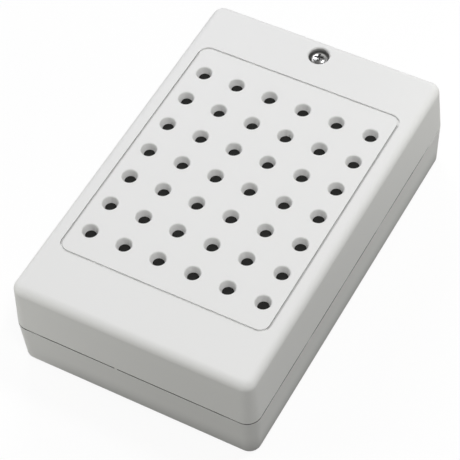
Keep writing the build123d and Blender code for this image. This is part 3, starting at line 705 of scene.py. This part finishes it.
FINISHES: tuple[Finish, ...] = (
    CasePlastic("case_plastic", (0.80, 0.80, 0.795), (0.775, 0.775, 0.765), roughness=0.58, blotch_scale=25.0,
                relief=0.0025 * MM),
    DrivenHead("bright_screw", (0.86, 0.86, 0.85), (0.55, 0.55, 0.54), roughness=0.24,
               blotch_scale=400.0, blotch_amount=0.3),
    PlatedMetal("zinc_screw", (0.66, 0.67, 0.68), (0.46, 0.47, 0.49), roughness=0.3, blotch_scale=500.0),
    Moulded("black_steel", (0.018, 0.018, 0.019), (0.03, 0.03, 0.03), roughness=0.4, relief=0.008 * MM),
    PressedPaper("black_card", (0.020, 0.020, 0.021), (0.012, 0.012, 0.012), roughness=0.85, pale=(0.05, 0.05, 0.05)),
    PressedPaper("black_paper", (0.016, 0.016, 0.017), (0.010, 0.010, 0.010), roughness=0.8,
                 pale=(0.045, 0.045, 0.045)),
    WovenCloth("black_cloth", (0.012, 0.012, 0.012), (0.02, 0.02, 0.02), roughness=0.6, thread=(0.035, 0.035, 0.035)),
    Moulded("rubber_glue", (0.014, 0.014, 0.015), (0.022, 0.022, 0.022), roughness=0.35, blotch_scale=300.0),
    WovenCloth("dust_cloth", (0.022, 0.022, 0.021), (0.017, 0.017, 0.016), roughness=0.95, ior=1.25,
               blotch_scale=200.0, thread=(0.036, 0.036, 0.035), pitch=0.3 * MM, relief=0.02 * MM),
    WovenCloth("amber_cloth", (0.42, 0.22, 0.06), (0.30, 0.14, 0.04), roughness=0.5,
               thread=(0.55, 0.32, 0.11), coat=0.3),
    Moulded("ferrite", (0.045, 0.045, 0.048), (0.07, 0.07, 0.072), roughness=0.55,
            blotch_scale=300.0, relief=0.01 * MM),
    PlatedMetal("zinc_plate", (0.62, 0.62, 0.60), (0.45, 0.44, 0.40), roughness=0.34, blotch_scale=250.0),
    PressedPaper("kraft_paper", (0.50, 0.33, 0.18), (0.40, 0.25, 0.12), roughness=0.75, pale=(0.62, 0.45, 0.28)),
    WoundWire("copper_wire", (0.62, 0.24, 0.08), (0.20, 0.06, 0.02), roughness=0.28, metallic=1.0, coat=0.6),
    PressedPaper("brown_board", (0.30, 0.155, 0.06), (0.22, 0.105, 0.04), roughness=0.45,
                 pale=(0.38, 0.21, 0.09), relief=0.012 * MM, coat=0.2),
    PlatedMetal("tinned_metal", (0.74, 0.74, 0.72), (0.52, 0.52, 0.50), roughness=0.26, blotch_scale=500.0),
    PlatedMetal("solder", (0.70, 0.70, 0.70), (0.50, 0.50, 0.50), roughness=0.32, blotch_scale=700.0),
    WoundWire("tinsel_braid", (0.62, 0.40, 0.26), (0.25, 0.13, 0.07), roughness=0.4, metallic=1.0, pitch=0.45 * MM),
    Moulded("red_insulation", (0.50, 0.02, 0.02), (0.38, 0.015, 0.015), roughness=0.32, blotch_scale=300.0),
    Moulded("black_insulation", (0.015, 0.015, 0.016), (0.03, 0.03, 0.03), roughness=0.32, blotch_scale=300.0),
    Moulded("green_plastic", (0.04, 0.25, 0.11), (0.03, 0.19, 0.08), roughness=0.35, blotch_scale=200.0),
    Moulded("black_epoxy", (0.022, 0.022, 0.023), (0.035, 0.035, 0.035), roughness=0.5,
            blotch_scale=400.0, relief=0.008 * MM),
    Moulded("disc_ceramic", (0.48, 0.21, 0.045), (0.38, 0.15, 0.03), roughness=0.42, blotch_scale=500.0, coat=0.3),
    Banded(
        "resistor_coat", (0.60, 0.44, 0.24), (0.52, 0.36, 0.18), roughness=0.3, coat=0.4, middle=-24.6 * MM,
        bands=((*mm(-2.4, -1.9), (0.16, 0.06, 0.02)), (*mm(-1.2, -0.7), (0.01, 0.01, 0.01)),
               (*mm(0.0, 0.5), (0.55, 0.10, 0.01)), (*mm(1.8, 2.3), (0.45, 0.30, 0.06)))),
    Banded(
        "rectifier_epoxy", (0.022, 0.022, 0.023), (0.035, 0.035, 0.035), roughness=0.45, middle=25.4 * MM,
        bands=((*mm(1.2, 1.8), (0.60, 0.60, 0.60)),)),
    Moulded("trimmer_plastic", (0.03, 0.12, 0.42), (0.02, 0.09, 0.33), roughness=0.35, blotch_scale=300.0),
    Moulded("white_rotor", (0.78, 0.78, 0.75), (0.68, 0.68, 0.64), roughness=0.45, blotch_scale=400.0),
)


# Building pieces


WELD = 0.0001 * MM
X_AXIS = Vector((1, 0, 0))
Y_AXIS = Vector((0, 1, 0))


def cut(mesh: bmesh.types.BMesh, normal: Vector, away: float) -> None:
    """Cuts the faces that a plane crosses, with its normal and its distance from the origin along it."""
    geom = mesh.verts[:] + mesh.edges[:] + mesh.faces[:]
    bmesh.ops.bisect_plane(mesh, geom=geom, plane_co=normal * away, plane_no=normal)


def finished(
    name: str, mesh: bmesh.types.BMesh, material: bpy.types.Material, body: Body | None, smooth_angle: float = 35.0
) -> bpy.types.Object:
    """Turns a bmesh into a piece at the origin, riding on a body.

    Args:
        name: The piece's name.
        mesh: The bmesh, with its place in its vertices. It is freed.
        material: Its material.
        body: The body that it rides on, or None for a piece that rides on none.
        smooth_angle: Edges sharper than this many degrees stay sharp.

    Returns:
        The piece.
    """
    bmesh.ops.remove_doubles(mesh, verts=mesh.verts, dist=WELD)
    bmesh.ops.recalc_face_normals(mesh, faces=mesh.faces)
    limit = math.radians(smooth_angle)
    for face in mesh.faces:
        face.smooth = True
    for edge in mesh.edges:
        edge.smooth = len(edge.link_faces) != 2 or edge.calc_face_angle(math.pi) < limit
    data = bpy.data.meshes.new(name)
    mesh.to_mesh(data)
    mesh.free()
    data.materials.append(material)
    piece = bpy.data.objects.new(name, data)
    bpy.context.scene.collection.objects.link(piece)
    if body is not None:
        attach(piece, body.value)
    log.info("%s: %d faces", name, len(data.polygons))
    return piece


def spun(profile: list[Span], centre: Vector, steps: int) -> bmesh.types.BMesh:
    """Turns a closed or open profile round the Z axis.

    Args:
        profile: Points of (radius, height), in order. The first and last are joined if they match.
        centre: A point on the axis. Heights are added to its Z.
        steps: Steps in the full turn.

    Returns:
        The turned bmesh.
    """
    mesh = bmesh.new()
    verts = [mesh.verts.new((radius, 0.0, height)) for radius, height in profile]
    edges = [mesh.edges.new(pair) for pair in zip(verts, verts[1:])]
    bmesh.ops.spin(mesh, geom=verts + edges, cent=(0, 0, 0), axis=(0, 0, 1), dvec=(0, 0, 0),
                   angle=2 * math.pi, steps=steps, use_merge=True)
    bmesh.ops.remove_doubles(mesh, verts=mesh.verts, dist=WELD)
    bmesh.ops.translate(mesh, verts=mesh.verts, vec=centre)
    return mesh


def smooth_line(points: list[Vector], steps: int) -> list[Vector]:
    """Passes a smooth line through points.

    Args:
        points: The points, at least two.
        steps: Steps between each two.

    Returns:
        The line's points.
    """
    line = []
    padded = [2 * points[0] - points[1], *points, 2 * points[-1] - points[-2]]
    for before, start, end, after in zip(padded, padded[1:], padded[2:], padded[3:]):
        for step in range(steps):
            t = step / steps
            line.append(0.5 * (2 * start + (end - before) * t + (2 * before - 5 * start + 4 * end - after) * t ** 2
                               + (3 * start - before - 3 * end + after) * t ** 3))
    return [*line, points[-1].copy()]


def tube(mesh: bmesh.types.BMesh, line: list[Vector], radius: float, sides: int = 10) -> None:
    """Adds a closed round tube along a line.

    Args:
        mesh: The bmesh that it is added to.
        line: The centre line's points.
        radius: Its radius.
        sides: Sides of its section.
    """
    side = (line[1] - line[0]).orthogonal().normalized()
    turns = [2 * math.pi * k / sides for k in range(sides)]
    rings = []
    for index, point in enumerate(line):
        ahead = line[min(index + 1, len(line) - 1)] - line[max(index - 1, 0)]
        ahead.normalize()
        side = (side - ahead * side.dot(ahead)).normalized()
        up = ahead.cross(side)
        ring = [point + radius * (math.cos(turn) * side + math.sin(turn) * up) for turn in turns]
        rings.append([mesh.verts.new(place) for place in ring])
    for first, second in zip(rings, rings[1:]):
        for k in range(sides):
            mesh.faces.new((first[k], first[(k + 1) % sides], second[(k + 1) % sides], second[k]))
    mesh.faces.new(rings[0])
    mesh.faces.new(rings[-1])


@dataclass
class Assembly:
    """A sub-assembly: the CAD nodes that it dresses and the pieces that it adds."""

    materials: dict[str, bpy.types.Material]

    def dress(self, finish: str, *nodes: str) -> None:
        """Gives CAD nodes their material.

        Args:
            finish: The finish's name.
            nodes: The nodes' names.
        """
        for node in nodes:
            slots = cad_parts[node].data.materials
            slots.clear()
            slots.append(self.materials[finish])
            log.info("%s: dressed in %s", node, finish)


@dataclass
class Case(Assembly):
    """The two mouldings, and the thin cloth glued behind the sound holes to keep dust out."""

    cloth_width: float = 56.0 * MM
    cloth_length: float = 67.5 * MM
    cloth_middle: float = -0.6 * MM
    cloth_thickness: float = 0.12 * MM
    cloth_gap: float = 0.06 * MM
    face_inside: float = 28.1 * MM
    rib_slot: tuple[float, ...] = mm(0.7, 9.3, 11.5, 13.3)

    def dust_cloth(self) -> None:
        """Builds the cloth, cut out round the short rib under the face."""
        mesh = bmesh.new()
        bmesh.ops.create_grid(mesh, x_segments=1, y_segments=1, size=0.5)
        bmesh.ops.scale(mesh, verts=mesh.verts, vec=(self.cloth_width, self.cloth_length, 1))
        level = self.face_inside - self.cloth_gap
        bmesh.ops.translate(mesh, verts=mesh.verts, vec=(0, self.cloth_middle, level))
        left, right, low, high = self.rib_slot
        for normal, away in ((X_AXIS, left), (X_AXIS, right), (Y_AXIS, low), (Y_AXIS, high)):
            cut(mesh, normal, away)
        inside = [face for face in mesh.faces
                  if left < face.calc_center_median().x < right and low < face.calc_center_median().y < high]
        bmesh.ops.delete(mesh, geom=inside, context="FACES")
        bmesh.ops.solidify(mesh, geom=mesh.faces[:], thickness=self.cloth_thickness)
        top = max(vert.co.z for vert in mesh.verts)
        bmesh.ops.translate(mesh, verts=mesh.verts, vec=(0, 0, level - top))
        cloth = finished("dust_cloth", mesh, self.materials["dust_cloth"], Body.COVER)

    def build(self) -> None:
        """Dresses the cover and the rear case, and adds the cloth."""
        self.dress("case_plastic", "front_cover", "rear_case")
        self.dust_cloth()


@dataclass
class CoverScrew(Assembly):
    """The bright screw in the counterbore, with a domed head, a tapered cross recess and its thread."""

    head_radius: float = 2.5 * MM
    head_height: float = 1.9 * MM
    head_edge: float = 0.1 * MM
    head_bore: float = 1.04 * MM
    head_sides: int = 64
    crown_steps: int = 12
    rim_height: float = 0.65 * MM
    roundness: float = 2.35
    sink: float = 0.02 * MM
    recess_reach: float = 1.36 * MM
    recess_half: float = 0.36 * MM
    recess_depth: float = 1.15 * MM
    recess_slope: float = 0.35
    recess_taper: float = 0.62
    recess_turn: float = 15.0
    crest: float = 1.3 * MM
    root: float = 0.96 * MM
    pitch: float = 1.0 * MM
    point: float = 2.2 * MM
    point_share: float = 0.12
    thread_shape: tuple[float, ...] = (1.0, 0.35, 0.0, 0.0, 0.0, 0.35)
    thread_sides: int = 24

    def blank(self, seat: float, top: float) -> bmesh.types.BMesh:
        """Builds the domed head without its recess, on the Z axis. Its bore is inside the shank.

        Args:
            seat: Height of its underside.
            top: Height of its crown.

        Returns:
            The head.
        """
        power = 2 / self.roundness
        rise = top - seat - self.rim_height
        profile = []
        for step in range(self.crown_steps + 1):
            angle = math.pi / 2 * step / self.crown_steps
            height = seat + self.rim_height + rise * max(math.cos(angle), 0.0) ** power
            profile.append((self.head_radius * math.sin(angle) ** power, height))
        profile += [(self.head_radius, seat + self.head_edge), (self.head_radius - self.head_edge, seat),
                    (self.head_bore, seat)]
        return spun(profile, Vector((0, 0, 0)), self.head_sides)

    def head(self, mesh: bmesh.types.BMesh, seat: float, top: float) -> None:
        """Builds the head with its tapered cross recess, on the Z axis.

        Args:
            mesh: The bmesh that it is added to.
            seat: Height of its underside.
            top: Height of its crown.
        """
        blank = self.blank(seat, top)
        for axis in (X_AXIS, Y_AXIS):
            for away in (-self.recess_reach, -self.recess_half, self.recess_half, self.recess_reach):
                cut(blank, axis, away)
        # The faces of the cross that are above half the dome's height become the recess.
        level = seat + 0.5 * (top - seat - self.rim_height)
        cross = []
        for face in blank.faces:
            middle = face.calc_center_median()
            near, far = sorted((abs(middle.x), abs(middle.y)))
            if far < self.recess_reach and near < self.recess_half and middle.z > level:
                cross.append(face)
        grown = bmesh.ops.extrude_face_region(blank, geom=cross)
        bmesh.ops.delete(blank, geom=cross, context="FACES")
        for vert in (item for item in grown["geom"] if isinstance(item, bmesh.types.BMVert)):
            reach = min(1.0, math.hypot(vert.co.x, vert.co.y) / self.recess_reach)
            depth = self.recess_depth * (1.0 - self.recess_slope * reach)
            vert.co = Vector((self.recess_taper * vert.co.x, self.recess_taper * vert.co.y, top - depth))
        turn = Matrix.Rotation(math.radians(self.recess_turn), 3, "Z")
        bmesh.ops.rotate(blank, verts=blank.verts, cent=(0, 0, 0), matrix=turn)
        copied = bpy.data.meshes.new("head")
        blank.to_mesh(copied)
        blank.free()
        mesh.from_mesh(copied)
        bpy.data.meshes.remove(copied)

    def thread(self, mesh: bmesh.types.BMesh, tip: float, seat: float) -> None:
        """Builds the threaded shank as one strip that follows the helix.

        Args:
            mesh: The bmesh that it is added to.
            tip: Height of the point.
            seat: Height of the head's underside.
        """
        shape, around = self.thread_shape, self.thread_sides
        rings = len(shape) * (math.ceil((seat - tip) / self.pitch) + 2)
        grid = []
        for ring in range(rings):
            row = []
            for step in range(around):
                height = tip + self.pitch * (ring / len(shape) - 1 + step / around)
                height = min(max(height, tip), seat + self.head_edge)
                taper = min(1.0, self.point_share + (height - tip) / self.point)
                radius = taper * (self.root + (self.crest - self.root) * shape[ring % len(shape)])
                angle = 2 * math.pi * step / around
                row.append(mesh.verts.new((radius * math.cos(angle), radius * math.sin(angle), height)))
            grid.append(row)
        for ring, row in enumerate(grid[:-1]):
            for step in range(around):
                # After a full turn the strip meets itself one pitch further up.
                after = ring + (len(shape) if step == around - 1 else 0)
                if after + 1 < rings:
                    ahead = (step + 1) % around
                    mesh.faces.new((row[step], grid[after][ahead], grid[after + 1][ahead], grid[ring + 1][step]))

    def build(self) -> None:
        """Replaces the plain screw by the detailed one."""
        low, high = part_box("cover_screw")
        mesh = bmesh.new()
        seat = high.z - self.head_height
        self.head(mesh, seat, high.z - self.sink)
        self.thread(mesh, low.z, seat)
        bmesh.ops.translate(mesh, verts=mesh.verts, vec=((low.x + high.x) / 2, (low.y + high.y) / 2, 0))
        screw = finished("cover_screw_threaded", mesh, self.materials["bright_screw"], Body.SCREW)
        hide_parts("cover_screw")


@dataclass
class Loudspeaker(Assembly):
    """The loudspeaker behind the grille, with the braids from its tags to its coil, and its solder."""

    braid_radius: float = 0.25 * MM
    braid_steps: int = 6
    braid_path: tuple[Triple, ...] = (
        mm(4.5, -23.1, 20.86), mm(5.0, -22.2, 21.1), mm(6.3, -21.0, 21.7), mm(7.1, -19.6, 21.9),
        mm(7.0, -17.4, 21.25), mm(6.3, -15.4, 21.7), mm(5.8, -14.0, 22.5),
    )
    glue_section: tuple[Span, ...] = (
        mm(-0.9, -0.28), mm(-0.5, 0.08), mm(0.0, 0.16), mm(0.31, 0.08), mm(0.36, -0.05), mm(0.36, -0.45),
        mm(0.03, -0.45), mm(0.02, 0.02), mm(-0.9, -0.28),
    )
    glue_sides: int = 96
    tag_top: float = 20.62 * MM
    board_top: float = 6.6 * MM
    joints: tuple[tuple[Triple, Triple], ...] = (
        ((*mm(4.5, -23.0), tag_top), mm(0.75, 0.95, 0.62)),
        ((*mm(4.5, -28.6), tag_top), mm(1.0, 1.1, 1.25)),
        ((*mm(5.6, -36.6), board_top), mm(1.35, 1.35, 1.0)),
    )
    joint_reach: float = 1.4 * MM

    def braid(self, side: int) -> None:
        """Builds one braid, from a tag through a window of the basket to the back of the cone.

        Args:
            side: 1 for the right one, -1 for the left one.
        """
        line = smooth_line([Vector((side * x, y, z)) for x, y, z in self.braid_path], self.braid_steps)
        mesh = bmesh.new()
        tube(mesh, line, self.braid_radius)
        name = "coil_braid_right" if side > 0 else "coil_braid_left"
        braid = finished(name, mesh, self.materials["tinsel_braid"], None, smooth_angle=60.0)
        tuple(line[6])
        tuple(line[-7])
        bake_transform(braid)

    def edge_glue(self) -> None:
        """Builds the bead of glue round the cone's rim, just short of the roll edge."""
        _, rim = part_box("speaker_cone")
        low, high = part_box("speaker_surround")
        profile = [(rim.x + out, rim.z + up) for out, up in self.glue_section]
        bead = spun(profile, Vector(((low.x + high.x) / 2, (low.y + high.y) / 2, 0)), self.glue_sides)
        glue = finished("cone_edge_glue", bead, self.materials["rubber_glue"], Body.CONE, smooth_angle=50.0)

    def solder(self) -> None:
        """Builds the solder on the tags and on the leads' pads."""
        mesh = bmesh.new()
        for side in (-1, 1):
            for (x, y, z), size in self.joints:
                turn = Matrix.Translation((side * x, y, z)) @ Matrix.Diagonal((*size, 1.0))
                bmesh.ops.create_uvsphere(mesh, u_segments=20, v_segments=12, radius=1.0, matrix=turn)
        for vert in mesh.verts:
            for level in (self.tag_top, self.board_top):
                if abs(vert.co.z - level) < self.joint_reach:
                    vert.co.z = max(vert.co.z, level)
        joints = finished("lead_solder", mesh, self.materials["solder"], Body.CASE)

    def build(self) -> None:
        """Dresses the loudspeaker's pieces, and adds the braids, the glue and the solder."""
        self.dress("black_steel", "speaker_basket")
        self.dress("black_card", "speaker_gasket")
        self.dress("zinc_plate", "speaker_top_plate", "speaker_yoke")
        self.dress("ferrite", "speaker_magnet")
        self.dress("kraft_paper", "coil_former")
        self.dress("copper_wire", "coil_winding")
        self.dress("amber_cloth", "speaker_spider")
        self.dress("black_cloth", "speaker_surround")
        self.dress("black_paper", "speaker_cone", "speaker_dust_cap")
        self.dress("brown_board", "speaker_tag_board")
        self.dress("tinned_metal", "speaker_tags", "tag_rivet")
        self.dress("zinc_screw", "speaker_screws")
        self.dress("red_insulation", "speaker_lead_red")
        self.dress("black_insulation", "speaker_lead_black")
        for side in (-1, 1):
            self.braid(side)
        self.edge_glue()
        self.solder()


@dataclass
class Board(Assembly):
    """The circuit board and what is soldered to it."""

    sleeve_edge: float = 0.9 * MM

    def sleeve(self, node: str) -> bpy.types.Material:
        """Builds the sleeve material of one can.

        Args:
            node: The can's node.

        Returns:
            The material.
        """
        low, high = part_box(node)
        finish = CanSleeve(node, (0.02, 0.03, 0.075), (0.015, 0.02, 0.05), roughness=0.3, coat=0.3,
                           centre=((low.x + high.x) / 2, (low.y + high.y) / 2),
                           bare_radius=(high.x - low.x) / 2 - self.sleeve_edge, top=high.z)
        return finish.build()

    def build(self) -> None:
        """Dresses the board's pieces."""
        for node in ("reservoir_capacitor", "coupling_capacitor"):
            self.materials[node] = self.sleeve(node)
            self.dress(node, node)
        self.dress("brown_board", "circuit_board")
        self.dress("green_plastic", "terminal_block")
        self.dress("zinc_screw", "board_screws", "terminal_screw_1", "terminal_screw_2", "terminal_screw_3")
        self.dress("zinc_plate", "tune_switch", "terminal_clamp_1", "terminal_clamp_2", "terminal_clamp_3")
        self.dress("tinned_metal", "terminal_pins", "melody_chip_legs", "transistor_legs", "capacitor_legs",
                   "resistor_legs", "diode_legs")
        self.dress("black_epoxy", "melody_chip", "output_transistor", "tune_slider")
        self.dress("disc_ceramic", "disc_capacitors")
        self.dress("resistor_coat", "resistors")
        self.dress("rectifier_epoxy", "rectifier_diodes")
        self.dress("trimmer_plastic", "volume_trimmer")
        self.dress("white_rotor", "volume_rotor")


# Studio


@dataclass(frozen=True)
class Softbox:
    """One area lamp: its place, what it faces, its size, its light and whether reflections show it."""

    name: str
    place: Triple
    aim: Triple
    size: float
    watts: float
    tint: Colour = (1.0, 1.0, 1.0)
    reflected: bool = True


@dataclass
class Studio:
    """Floor, lamps, sky and camera. The sky has a white backdrop low behind the object.

    The backdrop's two limits and their softness are given away from the camera and upwards.
    """

    lens: float = 155.6
    sensor: float = 36.0
    clip: Span = (0.01, 10.0)
    camera_place: Triple = (0.17169, -0.27500, 0.42976)
    camera_right: Triple = (0.87697, 0.47797, -0.04972)
    camera_down: Triple = (0.35273, -0.71053, -0.60888)
    floor_half: float = 3.0
    floor_level: float = -0.1 * MM
    floor_bounce: Colour = (0.08, 0.08, 0.07)
    floor_seen: Colour = (0.97, 0.97, 0.97)
    floor_white: float = 0.88
    sky_light: float = 0.12
    backdrop_light: float = 0.60
    backdrop_slant: float = 0.6
    backdrop_away: Triple = (0.25, 2.0, 0.3)
    backdrop_up: Triple = (-0.3, 0.62, 0.2)
    sky_tint: Colour = (1.0, 1.0, 0.99)
    softboxes: tuple[Softbox, ...] = (
        Softbox("near_key", (0.239, -0.239, 0.740), (0.0, 0.0, 0.015), 0.30, 2.52, (1.0, 1.0, 0.99), reflected=False),
        Softbox("far_key", (0.239, 0.239, 0.740), (0.0, 0.0, 0.015), 0.16, 1.37, (1.0, 1.0, 1.01)),
        Softbox("far_left_card", (-0.200, 0.240, 0.280), (0.0, 0.0, 0.030), 0.16, 0.34, (1.0, 1.0, 1.05)),
        Softbox("left_window", (-0.500, 0.020, 0.360), (0.0, 0.0, 0.015), 0.32, 0.28, (1.0, 1.0, 1.05)),
        Softbox("left_card", (-0.240, -0.220, 0.140), (-0.020, -0.050, 0.015), 0.16, 0.045, (1.0, 1.0, 0.92)),
        Softbox("low_left_card", (-0.160, -0.180, 0.050), (-0.035, -0.055, 0.010), 0.10, 0.046, (1.0, 1.0, 0.93)),
        Softbox("floor_left_card", (-0.110, -0.130, 0.015), (-0.035, -0.055, 0.008), 0.06, 0.029, (1.0, 1.0, 0.97)),
        Softbox("front_right_card", (0.140, -0.200, 0.070), (0.035, -0.055, 0.015), 0.10, 0.038, (1.0, 1.0, 0.93)),
        Softbox("right_card", (0.160, 0.100, 0.100), (0.035, 0.020, 0.015), 0.10, 0.034, (1.0, 1.0, 0.92)),
        Softbox("right_end_card", (0.090, 0.095, 0.045), (0.035, 0.055, 0.015), 0.04, 0.010, (1.0, 1.0, 0.97)),
    )

    def camera(self) -> None:
        """Places the camera at the photograph's point of view."""
        data = bpy.data.cameras.new("photo_camera")
        data.lens = self.lens
        data.sensor_width = self.sensor
        data.sensor_fit = "HORIZONTAL"
        data.clip_start, data.clip_end = self.clip
        camera = bpy.data.objects.new("photo_camera", data)
        right = Vector(self.camera_right).normalized()
        up = -Vector(self.camera_down)
        up = (up - right * up.dot(right)).normalized()
        back = right.cross(up)
        turn = Matrix((right, up, back)).transposed().to_4x4()
        camera.matrix_world = Matrix.Translation(self.camera_place) @ turn
        bpy.context.scene.collection.objects.link(camera)
        bpy.context.scene.camera = camera

    def floor(self) -> None:
        """Builds the pale floor, which shows white to the camera and keeps a soft shadow."""
        mesh = bmesh.new()
        bmesh.ops.create_grid(mesh, x_segments=1, y_segments=1, size=self.floor_half)
        data = bpy.data.meshes.new("floor")
        mesh.to_mesh(data)
        mesh.free()
        material = bpy.data.materials.new("floor_paper")
        tree = Tree(emptied(material))
        seen = tree.seen_by("Camera", "Glossy", "Transmission")
        matt = tree.add("BsdfDiffuse", {"Color": tree.mix(seen, self.floor_bounce, self.floor_seen)})
        tree.blend(tree.product(seen, self.floor_white), matt, tree.add("Emission"), "OutputMaterial")
        data.materials.append(material)
        item = bpy.data.objects.new("floor", data)
        item.location.z = self.floor_level
        bpy.context.scene.collection.objects.link(item)

    def sky(self) -> None:
        """Sets a dim sky with its backdrop, which the camera sees as even white."""
        world = bpy.data.worlds.new("studio")
        bpy.context.scene.world = world
        tree = Tree(emptied(world))
        x, y, z = tree.split(tree.add("TexCoord").outputs["Generated"])
        away = tree.between(tree.less(y, tree.product(x, self.backdrop_slant)), *self.backdrop_away)
        backdrop = tree.product(tree.product(away, tree.between(z, *self.backdrop_up)), self.backdrop_light)
        strength = tree.maths("ADD", backdrop, self.sky_light)
        light = tree.add("Background", {"Color": self.sky_tint, "Strength": strength})
        tree.blend(tree.seen_by("Camera", "Transmission"), light, tree.add("Background"), "OutputWorld")

    def lamps(self) -> None:
        """Hangs the softboxes."""
        for box in self.softboxes:
            data = bpy.data.lights.new(box.name, "AREA")
            data.shape = "DISK"
            data.size = box.size
            data.energy = box.watts
            data.color = box.tint
            item = bpy.data.objects.new(box.name, data)
            item.location = box.place
            item.visible_camera = False
            item.visible_glossy = box.reflected
            aim = Vector(box.aim) - Vector(box.place)
            item.rotation_euler = aim.to_track_quat("-Z", "Y").to_euler()
            bpy.context.scene.collection.objects.link(item)

    def build(self) -> None:
        """Builds the whole studio."""
        self.camera()
        self.floor()
        self.sky()
        self.lamps()
        bpy.context.scene.view_settings.view_transform = "Standard"


def main() -> None:
    """Builds the finishes, the sub-assemblies and the studio, in that order."""
    build_effects()
    materials = {finish.name: finish.build() for finish in FINISHES}
    Studio().build()
    for kind in (Case, CoverScrew, Loudspeaker, Board):
        assembly = kind(materials)
        assembly.build()
        log.info("%s: done", kind.__name__)


if __name__ == "__main__":
    main()
